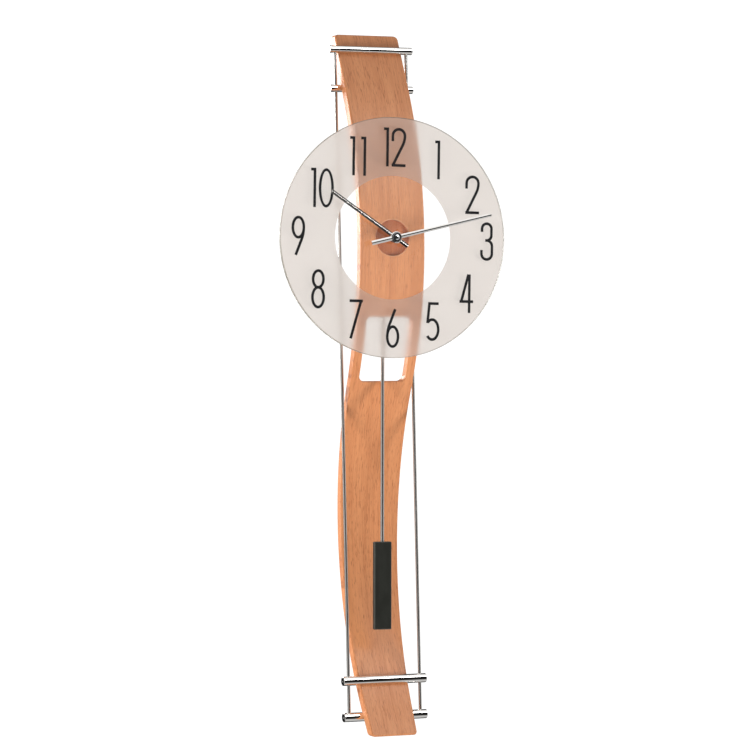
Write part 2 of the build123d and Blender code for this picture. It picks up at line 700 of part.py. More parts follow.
def setting_knob():
    """Knob that sets the hands, in one piece with its shaft and pinion."""
    wheel_turn = mesh_turn(0, 16, (0, 0), 48, MINUTE_WHEEL_AT)
    turn = mesh_turn(wheel_turn, 48, MINUTE_WHEEL_AT, 24, SETTING_AT)
    knob = gear(*SETTING_AT, 24, MOTION_MODULE, 4.6, 6.6, turn)
    knob += disc(*SETTING_AT, 1.1, 3.0, 1.2)
    knob += disc(*SETTING_AT, 2.3, 23.0, 2.4)
    grip = disc(*SETTING_AT, 22.4, 27.4, 12.0)
    grip = chamfer(grip.edges().filter_by(GeomType.CIRCLE).sort_by(Axis.Y)[-1], 0.8)
    for flute in range(16):
        angle = 2 * math.pi * flute / 16
        x = SETTING_AT[0] + 6.3 * math.cos(angle)
        z = SETTING_AT[1] + 6.3 * math.sin(angle)
        grip -= disc(x, z, 22, 28, 1.2)
    return knob + grip


def train_wheel(at, wheel, pinion, turn, arbor_d=ARBOR_D, front=1.1):
    """Wheel and pinion of the train on one arbor. Each is (teeth, module, near, far) or None."""
    piece = disc(*at, front, 20.0, arbor_d)
    for part in (wheel, pinion):
        if part:
            teeth, module, near, far = part
            piece += gear(*at, teeth, module, near, far, turn)
    return piece


def going_train():
    """The four wheels of the train and the rotor's pinion, each in mesh with the next."""
    centre_turn = 0.0
    third_turn = mesh_turn(centre_turn, 60, (0, 0), 8, THIRD_AT)
    seconds_turn = mesh_turn(third_turn, 64, THIRD_AT, 8, SECONDS_AT)
    intermediate_turn = mesh_turn(seconds_turn, 40, SECONDS_AT, 8, INTERMEDIATE_AT)
    rotor_turn = mesh_turn(intermediate_turn, 48, INTERMEDIATE_AT, 8, ROTOR_AT)
    return {
        "centre_wheel": train_wheel((0, 0), (60, 0.30, 8.0, 9.0), None, centre_turn, front=2.0),
        "third_wheel": train_wheel(THIRD_AT, (64, 0.28, 10.5, 11.3), (8, 0.30, 7.6, 9.4), third_turn),
        "seconds_wheel": train_wheel(SECONDS_AT, (40, 0.30, 13.0, 13.8), (8, 0.28, 10.0, 11.8), seconds_turn),
        "intermediate_wheel": train_wheel(
            INTERMEDIATE_AT, (48, 0.25, 15.0, 15.8), (8, 0.30, 12.6, 14.2), intermediate_turn),
        "rotor_pinion": train_wheel(ROTOR_AT, None, (8, 0.25, 14.6, 16.2), rotor_turn, arbor_d=0.8),
    }


# ---------------------------------------------------------------- movement: electrics

def rotor_magnet():
    return disc(*ROTOR_AT, 16.9, 18.9, 5.0) - disc(*ROTOR_AT, 16, 20, 0.8)


def stator():
    """Iron plate round the rotor, with two legs down to the coil."""
    plate = block((-24.0, -12.2), (4.5, 16.0), 17.2, 18.4)
    plate += block((-24.0, -21.4), (-4.4, 5.0), 17.2, 18.4)
    plate += block((-14.8, -12.2), (-4.4, 5.0), 17.2, 18.4)
    return plate - disc(*ROTOR_AT, 16, 20, 5.8)


def motor_core():
    return block((-24.0, -12.2), (-4.4, -2.2), 15.0, 17.2)


def motor_coil():
    coil = turned((-20.8, SEAT_Y + 16.1, DIAL_Z - 3.3), (1, 0, 0), 5.6, 5.4)
    return coil - motor_core()


def circuit_board():
    """Small printed board with the chip under its blob of resin."""
    plate = block((9.5, 25.4), (15.4, 25.8), 17.2, 18.2)
    blob = Plane(origin=(13.5, SEAT_Y + 17.2, DIAL_Z + 19.5), z_dir=(0, -1, 0)) * Cone(
        2.6, 1.4, 1.0, align=(Align.CENTER, Align.CENTER, Align.MIN))
    return plate + blob


def quartz_crystal():
    can = turned((11.0, SEAT_Y + 16.2, DIAL_Z + 24.4), (1, 0, 0), 2.0, 6.0)
    return chamfer(can.edges().filter_by(GeomType.CIRCLE), 0.3)


def battery():
    cell = battery_solid()
    cell = chamfer(cell.edges().filter_by(GeomType.CIRCLE), 0.5)
    end = Vector(BATTERY_L / 2, SEAT_Y + BATTERY_DEPTH, DIAL_Z + BATTERY_Z)
    return cell + turned(end, (1, 0, 0), 5.5, 1.0)


def battery_contacts():
    """Spring strips at the two ends of the battery."""
    wall = CASE_W / 2 - CASE_WALL
    reach = ((-wall, -BATTERY_L / 2), (BATTERY_L / 2 + 1.0, wall))
    strips = []
    for x_range in reach:
        strip = block((x_range[0], x_range[1]), (BATTERY_Z - 3.5, BATTERY_Z + 3.5), 5.0, 16.0)
        strips.append(strip)
    return strips


def drive_coil():
    """Flat coil that gives the pendulum's magnet a push at each swing."""
    return disc(0, -50.0, 8.0, 12.0, 12.0) - disc(0, -50.0, 7.5, 12.5, 3.6)


# ---------------------------------------------------------------- pendulum

def swung(piece):
    """A piece of the pendulum, drawn plumb, turned to where the pendulum is drawn."""
    pivot = Vector(0, 0, DIAL_Z + PIVOT_Z)
    return Pos(pivot) * Rot(0, PENDULUM_SWING, 0) * Pos(pivot * -1) * piece


def lever_pin():
    return disc(0, PIVOT_Z, 10.0, CASE_DEPTH + 0.9, 2.0)


def hanger_lever():
    near = PENDULUM_DEPTH - 1
    far = PENDULUM_DEPTH + 1
    lever = block((-3, 3), (-79.0, PIVOT_Z), near, far)
    lever += disc(0, PIVOT_Z, near, far, 8.0)
    lever += disc(0, -50.0, near, far, 9.6)
    lever -= disc(0, PIVOT_Z, near - 1, far + 1, 2.0 + 2 * FIT)
    lever -= disc(0, -76.0, near - 1, far + 1, 1.6)
    return swung(lever)


def lever_magnet():
    return swung(disc(0, -50.0, PENDULUM_DEPTH - 4, PENDULUM_DEPTH - 1, 8.0))


def pendulum_clevis():
    """Forked steel piece that hooks the rod on the lever."""
    fork = block((-3.5, 3.5), (-83.5, -73.0), PENDULUM_DEPTH - 3, PENDULUM_DEPTH + 3)
    fork = chamfer(fork.edges().filter_by(Axis.Z), 0.8)
    fork -= block((-4, 4), (-79.5, -72.0), PENDULUM_DEPTH - 1, PENDULUM_DEPTH + 1)
    fork -= disc(0, -76.0, PENDULUM_DEPTH - 4, PENDULUM_DEPTH + 4, 1.6)
    return swung(fork - plumb_rod())


def clevis_pin():
    return swung(disc(0, -76.0, PENDULUM_DEPTH - 3.6, PENDULUM_DEPTH + 3.6, 1.6))


def plumb_rod():
    start = Vector(0, SEAT_Y + PENDULUM_DEPTH, DIAL_Z - 80.5)
    return turned(start, (0, 0, -1), PENDULUM_ROD_D, -80.5 - BOB_TOP + 8)


def pendulum_bob():
    bob = block((-BOB_W / 2, BOB_W / 2), (BOB_TOP - BOB_H, BOB_TOP), PENDULUM_DEPTH - BOB_T / 2,
                PENDULUM_DEPTH + BOB_T / 2)
    bob = chamfer(bob.edges(), BOB_CHAMFER)
    return swung(bob - plumb_rod())


# ---------------------------------------------------------------- assembly

FIXINGS = {
    "front_bar_screws": front_bar_fixings(),
    "rear_bar_screws": rear_bar_fixings(),
    "hanger_screws": hanger_fixings(),
    "case_screws": case_fixings(),
    "cover_screws": cover_fixings(),
    "plate_screws": plate_fixings(),
}


def drilled(piece, *groups):
    """A piece with the holes that the named groups of screws fill."""
    for group in groups:
        for fixing in FIXINGS[group]:
            piece -= screw_blank(*fixing)
    return piece


def frame_nodes():
    """The board with its rods, bars and wall hanger."""
    nodes = {"left_rod": side_rod(-1), "right_rod": side_rod(1)}
    bars = {"top_crossbar": crossbar(TOP_BAR_Z, UPPER_BAR_D),
            "upper_crossbar": crossbar(UPPER_BAR_Z, UPPER_BAR_D),
            "lower_crossbar": crossbar(LOWER_BAR_Z, LOWER_BAR_D),
            "bottom_crossbar": crossbar(BOTTOM_BAR_Z, LOWER_BAR_D)}
    board = plain_board() - recess_cutter()
    board -= turned((0, 0, DIAL_Z), (0, -1, 0), BUSHING_D, 200)
    board -= rounded_block(0, 60, -0.2)
    nodes["wall_bumpers"] = [bumper - board for bumper in wall_bumpers()]
    for name, bar in bars.items():
        board -= bar
        bar = bar - nodes["left_rod"] - nodes["right_rod"]
        nodes[name] = drilled(bar, "front_bar_screws", "rear_bar_screws")
    nodes["board"] = drilled(board, "front_bar_screws", "rear_bar_screws", "hanger_screws", "case_screws")
    nodes["wall_hanger"] = drilled(wall_hanger(), "hanger_screws")
    return nodes


def dial_nodes():
    """The glass, its numerals and fixings, and the hands."""
    minute_angle = 6 * MINUTE
    hour_angle = 30 * HOUR + MINUTE / 2 - HOUR_HAND_LAG
    return {
        "glass_dial": glass_dial(),
        "hour_numerals": [shape for hour in NUMERALS for shape in numeral(hour)],
        "dial_bush": dial_bush(),
        "dial_nut": dial_nut(),
        "centre_bushing": centre_bushing(),
        "hour_hand": hand(HOUR_BLADE, HOUR_RIDGE_DROP, HOUR_TUBE_D, HOUR_HAND_Y, hour_angle),
        "minute_hand": hand(MINUTE_BLADE, MINUTE_RIDGE_DROP, MINUTE_TUBE_D, MINUTE_HAND_Y,
                            minute_angle),
        "cap_nut": cap_nut(),
    }


def movement_nodes():
    """The quartz movement, except the train."""
    return {
        "movement_case": drilled(movement_case(), "case_screws", "cover_screws", "plate_screws"),
        "rear_cover": drilled(rear_cover(), "cover_screws"),
        "bearing_plate": drilled(bearing_plate(), "plate_screws"),
        "cannon_pinion": cannon_pinion(),
        "minute_wheel": minute_wheel(),
        "hour_wheel": hour_wheel(),
        "setting_knob": setting_knob(),
        "rotor_magnet": rotor_magnet(),
        "stator": stator(),
        "motor_core": motor_core(),
        "motor_coil": motor_coil(),
        "circuit_board": circuit_board(),
        "quartz_crystal": quartz_crystal(),
        "battery": battery(),
        "battery_contacts": battery_contacts(),
        "drive_coil": drive_coil(),
        "lever_pin": lever_pin(),
    }


def pendulum_nodes():
    """The pendulum and the lever that it hangs from."""
    return {
        "hanger_lever": hanger_lever(),
        "lever_magnet": lever_magnet(),
        "pendulum_clevis": pendulum_clevis(),
        "clevis_pin": clevis_pin(),
        "pendulum_rod": swung(plumb_rod()),
        "pendulum_bob": pendulum_bob(),
    }


screws = {name: [screw(*fixing) for fixing in group] for name, group in FIXINGS.items()}
sub_parts = {**frame_nodes(), **dial_nodes(), **movement_nodes(), **going_train(), **pendulum_nodes(), **screws}

os.makedirs("parts", exist_ok=True)
for sub_part, shape in sub_parts.items():
    solid = Compound(children=shape) if isinstance(shape, list) else shape
    export_step(solid, f"parts/{sub_part}.step")
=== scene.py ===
import json
import math

import bpy
from mathutils import Matrix, Vector


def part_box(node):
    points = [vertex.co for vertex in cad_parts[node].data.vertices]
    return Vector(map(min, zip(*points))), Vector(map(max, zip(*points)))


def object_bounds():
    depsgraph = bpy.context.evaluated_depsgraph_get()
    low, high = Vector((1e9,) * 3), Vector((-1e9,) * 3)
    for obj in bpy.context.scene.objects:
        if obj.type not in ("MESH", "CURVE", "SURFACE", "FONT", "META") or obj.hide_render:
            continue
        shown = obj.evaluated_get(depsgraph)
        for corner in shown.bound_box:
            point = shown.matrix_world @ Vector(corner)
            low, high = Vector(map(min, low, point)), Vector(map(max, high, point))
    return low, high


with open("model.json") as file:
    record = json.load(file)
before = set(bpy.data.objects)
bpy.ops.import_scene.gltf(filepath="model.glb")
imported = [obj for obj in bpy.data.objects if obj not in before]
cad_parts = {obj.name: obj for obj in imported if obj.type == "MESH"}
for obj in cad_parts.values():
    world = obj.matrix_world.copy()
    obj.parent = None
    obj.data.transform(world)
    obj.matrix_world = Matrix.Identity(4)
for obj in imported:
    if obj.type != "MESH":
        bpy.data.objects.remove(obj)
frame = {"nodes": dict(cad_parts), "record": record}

# Looks of the pendulum wall clock. All lengths are in metres, in the frame's own axes: +Z is up,
# -Y faces the viewer and +X is to the viewer's right.

MM = 0.001
CAD_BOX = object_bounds()
NODES = frame["nodes"]


# ---------------------------------------------------------------- places read from the frame

def middle(node):
    """Centre of a node's bounding box."""
    low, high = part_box(node)
    return (low + high) / 2


GLASS_LOW, GLASS_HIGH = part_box("glass_dial")
GLASS_RADIUS = (GLASS_HIGH.x - GLASS_LOW.x) / 2
DIAL = middle("glass_dial")
CLEAR_RADIUS = 66.8 * MM
BOARD_FRONT_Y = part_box("board")[0].y
RECESS_RADIUS = 19.5 * MM
RECESS_FLOOR_Y = BOARD_FRONT_Y + 4 * MM
OBJECT_CENTRE = (CAD_BOX[0] + CAD_BOX[1]) / 2


# ---------------------------------------------------------------- node helpers

class Shader:
    """A material's node tree, with short calls for the nodes that the finishes share."""

    def __init__(self, name):
        self.material = bpy.data.materials.new(name)
        self.material.use_nodes = True
        self.tree = self.material.node_tree
        self.principled = self.tree.nodes["Principled BSDF"]
        place = self.tree.nodes.new("ShaderNodeTexCoord")
        self.place = place.outputs["Object"]
        geometry = self.tree.nodes.new("ShaderNodeNewGeometry")
        self.normal = geometry.outputs["Normal"]

    def node(self, kind, **settings):
        """New node of a kind, with its settings."""
        made = self.tree.nodes.new(kind)
        for name, value in settings.items():
            setattr(made, name, value)
        return made

    def feed(self, socket, value):
        """Sets a socket to a number, or links it to another node's output."""
        if isinstance(value, bpy.types.NodeSocket):
            self.tree.links.new(value, socket)
        elif value is not None:
            socket.default_value = value

    def math(self, operation, a, b=None, c=None):
        """Result of a Math node on numbers or sockets."""
        made = self.node("ShaderNodeMath", operation=operation)
        for socket, value in zip(made.inputs, (a, b, c)):
            self.feed(socket, value)
        return made.outputs[0]

    def split(self, vector):
        """The x, y and z of a vector."""
        made = self.node("ShaderNodeSeparateXYZ")
        self.feed(made.inputs[0], vector)
        return made.outputs

    def stretched(self, scale):
        """The surface's place, scaled along each axis, in millimetres per unit."""
        made = self.node("ShaderNodeMapping")
        self.feed(made.inputs["Vector"], self.place)
        made.inputs["Scale"].default_value = [1 / (each * MM) for each in scale]
        return made.outputs[0]

    def noise(self, vector, detail=3.0, roughness=0.5, distortion=0.0):
        """Cloudy values from 0 to 1, with features about one unit wide."""
        made = self.node("ShaderNodeTexNoise")
        self.feed(made.inputs["Vector"], vector)
        made.inputs["Scale"].default_value = 1.0
        made.inputs["Detail"].default_value = detail
        made.inputs["Roughness"].default_value = roughness
        made.inputs["Distortion"].default_value = distortion
        return made.outputs["Fac"]

    def ramp(self, value, low, high, to_low=0.0, to_high=1.0):
        """value, brought from the range low..high to to_low..to_high, smoothly and clamped."""
        made = self.node("ShaderNodeMapRange", interpolation_type="SMOOTHSTEP")
        for socket, each in zip(made.inputs, (value, low, high, to_low, to_high)):
            self.feed(socket, each)
        return made.outputs[0]

    def band(self, value, rise, fall):
        """1 between rise and fall and 0 outside. Each is the pair where its soft edge starts and
        ends."""
        return self.math("MULTIPLY", self.ramp(value, *rise), self.ramp(value, *fall, 1, 0))

    def ripple(self, value, pitch):
        """Sine wave along value, once in each pitch, from -1 to 1."""
        return self.math("SINE", self.math("MULTIPLY", value, 2 * math.pi / pitch))

    def blend(self, share, a, b):
        """Colour a where share is 0 and b where it is 1."""
        made = self.node("ShaderNodeMix", data_type="RGBA")
        self.feed(made.inputs["Factor"], share)
        for socket, value in ((made.inputs[6], a), (made.inputs[7], b)):
            if isinstance(value, bpy.types.NodeSocket):
                self.tree.links.new(value, socket)
            else:
                socket.default_value = (*value, 1)
        return made.outputs[2]

    def bump(self, height, depth):
        """Normal of a relief: height is 0..1 and depth is its range in millimetres."""
        made = self.node("ShaderNodeBump")
        made.inputs["Strength"].default_value = 1.0
        made.inputs["Distance"].default_value = depth * MM
        self.feed(made.inputs["Height"], height)
        return made.outputs[0]

    def set(self, **values):
        """Sets or links inputs of the Principled shader: base_color sets Base Color, and so on."""
        for name, value in values.items():
            socket = self.principled.inputs[SOCKETS[name]]
            if isinstance(value, tuple):
                value = (*value, 1)
            self.feed(socket, value)
        return self

    def radius(self, centre):
        """Distance from the line through centre along Y."""
        x, _, z = self.split(self.place)
        across = self.math("SUBTRACT", x, centre.x)
        up = self.math("SUBTRACT", z, centre.z)
        return self.math("SQRT", self.math("ADD", self.math("MULTIPLY", across, across),
                                           self.math("MULTIPLY", up, up)))


SOCKETS = {
    "base_color": "Base Color", "metallic": "Metallic", "roughness": "Roughness", "ior": "IOR",
    "normal": "Normal", "specular": "Specular IOR Level", "coat": "Coat Weight",
    "coat_roughness": "Coat Roughness", "transmission": "Transmission Weight",
}


def srgb(red, green, blue):
    """Linear colour of an 8-bit display colour."""
    def linear(value):
        share = value / 255
        return share / 12.92 if share <= 0.04045 else ((share + 0.055) / 1.055) ** 2.4
    return linear(red), linear(green), linear(blue)


def dimmed(colour, share):
    """The colour at a share of its brightness."""
    return tuple(each * share for each in colour)


# ---------------------------------------------------------------- wood

BEECH_LIGHT = srgb(226, 152, 102)
BEECH_DEEP = srgb(214, 140, 92)
BEECH_GRAIN = srgb(184, 108, 66)
BEECH_FIBRE = srgb(242, 178, 126)
BEECH_FLECK = srgb(148, 80, 46)
PLY_LIGHT = srgb(206, 124, 78)
PLY_DEEP = srgb(184, 104, 62)
# painted highlight: pale colour for the lit edge round the dial's recess
RECESS_EDGE_HIGHLIGHT = srgb(240, 188, 148)
END_LIGHT = srgb(206, 140, 98)
END_DEEP = srgb(150, 92, 60)


def beech():
    """Oiled beech veneer: straight grain along the board, short dark flecks, broad soft bands,
    a darker inner ply on the recess's floor, a painted highlight round the recess's edge, and
    end grain at the two ends."""
    look = Shader("beech")
    bands = look.noise(look.stretched((13, 60, 300)), detail=2.0, distortion=0.5)
    grain = look.noise(look.stretched((1.3, 40, 60)), detail=4.0, roughness=0.65, distortion=0.12)
    fibres = look.noise(look.stretched((0.5, 30, 18)), detail=3.0, roughness=0.65)
    flecks = look.noise(look.stretched((0.8, 30, 7.5)), detail=1.5, roughness=0.45)

    colour = look.blend(look.ramp(bands, 0.25, 0.75), BEECH_LIGHT, BEECH_DEEP)
    colour = look.blend(look.ramp(grain, 0.42, 0.80, 0.0, 0.6), colour, BEECH_GRAIN)
    colour = look.blend(look.ramp(fibres, 0.5, 0.8, 0.0, 0.5), colour, BEECH_FIBRE)
    fleck = look.ramp(flecks, 0.56, 0.72, 0.0, 0.5)
    colour = look.blend(fleck, colour, BEECH_FLECK)

    radius = look.radius(DIAL)
    depth = look.split(look.place)[1]
    in_recess = look.ramp(radius, RECESS_RADIUS - 0.15 * MM, RECESS_RADIUS + 0.05 * MM, 1, 0)
    in_front = look.ramp(depth, RECESS_FLOOR_Y + 0.1 * MM, RECESS_FLOOR_Y + 0.3 * MM, 1, 0)
    inner_ply = look.blend(look.ramp(grain, 0.3, 0.7), PLY_LIGHT, PLY_DEEP)
    colour = look.blend(look.math("MULTIPLY", in_recess, in_front), colour, inner_ply)
    # painted highlight along the recess's edge, where it catches the light
    painted_rim_highlight = look.band(radius, (RECESS_RADIUS - 0.1 * MM, RECESS_RADIUS + 0.1 * MM),
                    (RECESS_RADIUS + 0.7 * MM, RECESS_RADIUS + 1.1 * MM))
    painted_rim_highlight = look.math("MULTIPLY", painted_rim_highlight, in_front)
    colour = look.blend(look.math("MULTIPLY", painted_rim_highlight, 0.5), colour, RECESS_EDGE_HIGHLIGHT)

    facing_up = look.math("ABSOLUTE", look.split(look.normal)[2])
    rings = look.noise(look.stretched((0.9, 0.7, 20)), detail=4.0, roughness=0.7)
    end_grain = look.blend(look.ramp(rings, 0.35, 0.7), END_LIGHT, END_DEEP)
    colour = look.blend(look.ramp(facing_up, 0.86, 0.96), colour, end_grain)

    relief = look.math("ADD", look.math("MULTIPLY", grain, 0.5), look.math("MULTIPLY", fibres, 0.35))
    relief = look.math("SUBTRACT", relief, look.math("MULTIPLY", fleck, 0.6))
    look.set(base_color=colour, roughness=look.ramp(grain, 0.3, 0.8, 0.36, 0.52),
             normal=look.bump(relief, 0.09), specular=0.32, coat=0.10, coat_roughness=0.28, ior=1.5)
    return look.material


# ---------------------------------------------------------------- metals

# cells of the hairline pattern, in millimetres: the same every way, or fine along Y and long
# across it, as on a piece that is turned about Y
PLATED_LINES = (0.9, 0.9, 0.9)
TURNED_LINES = (6, 0.12, 6)


def polished(name, tint, smooth, worn, line_cells=PLATED_LINES):
    """Plated metal with fine hairlines and faint smears; `smooth` and `worn` are the least and
    the most roughness that the smears give."""
    look = Shader(name)
    smears = look.noise(look.stretched((9, 9, 9)), detail=3.0, roughness=0.6)
    lines = look.noise(look.stretched(line_cells), detail=3.0, roughness=0.6)
    colour = look.blend(look.ramp(smears, 0.4, 0.75), tint, dimmed(tint, 0.93))
    rough = look.math("ADD", look.ramp(smears, 0.35, 0.8, smooth, worn),
                      look.ramp(lines, 0.55, 0.9, 0, 0.04))
    look.set(base_color=colour, metallic=1.0, roughness=rough, normal=look.bump(lines, 0.0012))
    return look.material


def satin_steel(name, tint, low, high):
    """Drawn steel: fine lines along its length and a soft sheen, with a roughness from `low` to
    `high`."""
    look = Shader(name)
    drawn = look.noise(look.stretched((0.25, 0.25, 60)), detail=2.0, roughness=0.5)
    patches = look.noise(look.stretched((6, 6, 90)), detail=2.0)
    colour = look.blend(look.ramp(drawn, 0.3, 0.7), dimmed(tint, 0.93), tint)
    rough = look.math("ADD", look.ramp(drawn, 0.3, 0.7, low, high),
                      look.ramp(patches, 0.4, 0.8, 0, 0.05))
    look.set(base_color=colour, metallic=1.0, roughness=rough, normal=look.bump(drawn, 0.0015))
    return look.material


def zinc():
    """Bright zinc plate: faint crystalline mottling over a fine grain."""
    look = Shader("zinc_steel")
    cells = look.node("ShaderNodeTexVoronoi")
    look.feed(cells.inputs["Vector"], look.stretched((2.2, 2.2, 2.2)))
    cells.inputs["Scale"].default_value = 1.0
    fine = look.noise(look.stretched((0.25, 0.25, 0.25)), detail=3.0)
    spangle = look.ramp(cells.outputs["Distance"], 0.1, 0.8)
    colour = look.blend(spangle, (0.60, 0.60, 0.61), (0.46, 0.47, 0.50))
    look.set(base_color=colour, metallic=1.0, roughness=look.ramp(fine, 0.3, 0.7, 0.24, 0.40),
             normal=look.bump(fine, 0.008))
    return look.material


def cap_finish():
    """Polished cap with a painted dark reflection: a black ring between its dome and its edge."""
    look = Shader("cap_nut_finish")
    # painted reflection: the dark surroundings mirrored on the cap's edge, as a black, non-metal
    # ring
    painted_dark_ring = look.band(look.radius(DIAL), (3.4 * MM, 3.55 * MM), (4.6 * MM, 4.7 * MM))
    smears = look.noise(look.stretched((3, 3, 3)), detail=3.0)
    rings = look.noise(look.stretched((0.3, 0.3, 0.3)), detail=2.0)
    colour = look.blend(painted_dark_ring, (0.86, 0.86, 0.87), (0.012, 0.012, 0.013))
    look.set(base_color=colour, metallic=look.math("SUBTRACT", 1.0, painted_dark_ring),
             roughness=look.ramp(smears, 0.3, 0.7, 0.06, 0.16), specular=0.15,
             normal=look.bump(rings, 0.004))
    return look.material


# ---------------------------------------------------------------- paint, plastics, rubber

def moulded(name, colour, rough, grain=0.5, depth=0.02):
    """Moulded plastic: a fine spark-eroded texture, faint flow marks and patches of shine. The
    texture's cell, `grain`, and its depth are in millimetres."""
    look = Shader(name)
    texture = look.noise(look.stretched((grain, grain, grain)), detail=3.0, roughness=0.65)
    flow = look.noise(look.stretched((14, 14, 30)), detail=2.0, distortion=0.8)
    shade = look.blend(look.ramp(flow, 0.3, 0.75), colour, dimmed(colour, 0.86))
    shine = look.math("ADD", look.ramp(texture, 0.3, 0.7, rough - 0.06, rough + 0.08),
                      look.ramp(flow, 0.4, 0.8, -0.04, 0.03))
    look.set(base_color=shade, roughness=shine, normal=look.bump(texture, depth))
    return look.material


def bob_lacquer():
    """Anthracite lacquer over brushed metal: fine upright brush lines, dust, and a painted
    highlight on the bevels."""
    look = Shader("black_steel")
    brush = look.noise(look.stretched((0.35, 0.35, 30)), detail=3.0, roughness=0.6)
    dust = look.noise(look.stretched((0.5, 0.5, 0.5)), detail=4.0, roughness=0.7)
    haze = look.noise(look.stretched((12, 12, 26)), detail=2.0)
    colour = look.blend(look.ramp(haze, 0.3, 0.7), srgb(38, 39, 34), srgb(45, 46, 41))
    colour = look.blend(look.ramp(dust, 0.72, 0.82, 0.0, 0.35), colour, srgb(110, 110, 104))
    slope = look.node("ShaderNodeVectorMath", operation="ABSOLUTE")
    look.feed(slope.inputs[0], look.normal)
    # painted highlight: lighter colour on the bevels, where they catch the light
    bevel_highlight = look.band(look.split(slope.outputs[0])[1], (0.3, 0.5), (0.85, 0.95))
    colour = look.blend(look.math("MULTIPLY", bevel_highlight, 0.5), colour, srgb(96, 98, 92))
    look.set(base_color=colour, roughness=look.ramp(brush, 0.3, 0.7, 0.34, 0.48),
             specular=0.35, normal=look.bump(brush, 0.010))
    return look.material


def ink():
    """Screen-printed enamel: a thin, slightly uneven black film."""
    look = Shader("black_ink")
    mesh = look.noise(look.stretched((0.22, 0.22, 0.22)), detail=2.0)
    cloud = look.noise(look.stretched((7, 7, 7)), detail=2.0)
    colour = look.blend(look.ramp(cloud, 0.3, 0.7), (0.008, 0.008, 0.009), (0.016, 0.016, 0.018))
    look.set(base_color=colour, roughness=look.ramp(mesh, 0.3, 0.7, 0.40, 0.52), specular=0.3,
             normal=look.bump(mesh, 0.006))
    return look.material


def rubber():
    """Black rubber: a matt skin with grey dust in patches."""
    look = Shader("black_rubber")
    skin = look.noise(look.stretched((0.6, 0.6, 0.6)), detail=4.0, roughness=0.7)
    dust = look.noise(look.stretched((4, 4, 4)), detail=3.0)
    colour = look.blend(look.ramp(dust, 0.5, 0.8), (0.022, 0.022, 0.023), (0.06, 0.058, 0.055))
    look.set(base_color=colour, roughness=look.ramp(skin, 0.3, 0.7, 0.7, 0.85),
             normal=look.bump(skin, 0.03))
    return look.material


# ---------------------------------------------------------------- glass

ETCH_SOFT_EDGE = 0.25 * MM
ETCH_HAZE = 0.31
ETCH_ROUGHNESS = (0.40, 0.48)


def dial_glass():
    """Plate glass: clear in the middle, satin-etched on its back in a wide outer ring, with a
    ground rim. ETCH_HAZE is the share of the etched surface that scatters light like a dull one
    instead of letting it through."""
    look = Shader("dial_glass")
    radius = look.radius(DIAL)
    etched = look.ramp(radius, CLEAR_RADIUS - ETCH_SOFT_EDGE, CLEAR_RADIUS + ETCH_SOFT_EDGE)
    depth = look.split(look.place)[1]
    at_back = look.ramp(depth, GLASS_HIGH.y - 0.3 * MM, GLASS_HIGH.y - 0.1 * MM)
    at_rim = look.ramp(radius, GLASS_RADIUS - 0.8 * MM, GLASS_RADIUS - 0.4 * MM)
    frost = look.math("MAXIMUM", look.math("MULTIPLY", etched, at_back), at_rim)
    cloud = look.noise(look.stretched((0.5, 0.5, 0.5)), detail=4.0, roughness=0.7)
    patch = look.noise(look.stretched((40, 40, 40)), detail=2.0)
    rough = look.math("MULTIPLY", frost, look.ramp(cloud, 0.3, 0.7, *ETCH_ROUGHNESS))
    tint = look.blend(look.ramp(patch, 0.3, 0.7), srgb(213, 202, 193), srgb(210, 199, 190))
    colour = look.blend(frost, (1.0, 1.0, 1.0), tint)
    colour = look.blend(at_rim, colour, srgb(150, 145, 134))
    clear = look.math("MULTIPLY_ADD", frost, -ETCH_HAZE, 1.0)
    look.set(base_color=colour, roughness=rough, transmission=clear, ior=1.46,
             normal=look.bump(look.math("MULTIPLY", cloud, frost), 0.004))
    return look.material


# ---------------------------------------------------------------- electrical pieces

WIRE_PITCH = 0.16 * MM
CLOTH_PITCH = 0.5 * MM
COPPER_BAND = 15 * MM


def winding(name, centre=None):
    """Fine enamelled wire: close turns side by side along X, or in rings round the line through
    `centre` along Y."""
    look = Shader(name)
    across = look.split(look.place)[0] if centre is None else look.radius(centre)
    turns = look.math("MULTIPLY_ADD", look.ripple(across, WIRE_PITCH), 0.5, 0.5)
    patches = look.noise(look.stretched((1.5, 1.5, 1.5)), detail=3.0)
    colour = look.blend(turns, (0.30, 0.10, 0.035), (0.78, 0.34, 0.13))
    colour = look.blend(look.ramp(patches, 0.4, 0.8, 0, 0.3), colour, (0.40, 0.16, 0.06))
    look.set(base_color=colour, metallic=0.75, roughness=look.ramp(patches, 0.3, 0.7, 0.25, 0.4),
             normal=look.bump(turns, 0.05))
    return look.material


def laminate():
    """Green solder mask over woven glass cloth, with lighter tracks."""
    look = Shader("circuit_laminate")
    x, _, z = look.split(look.place)
    threads = look.math("MULTIPLY", look.ripple(x, CLOTH_PITCH), look.ripple(z, CLOTH_PITCH))
    weave = look.math("MULTIPLY_ADD", threads, 0.5, 0.5)
    tracks = look.ramp(look.noise(look.stretched((1.6, 20, 4.5)), detail=0.0), 0.5, 0.53)
    colour = look.blend(tracks, (0.02, 0.16, 0.06), (0.03, 0.26, 0.10))
    look.set(base_color=colour, roughness=look.ramp(weave, 0, 1, 0.3, 0.42),
             normal=look.bump(weave, 0.02))
    return look.material


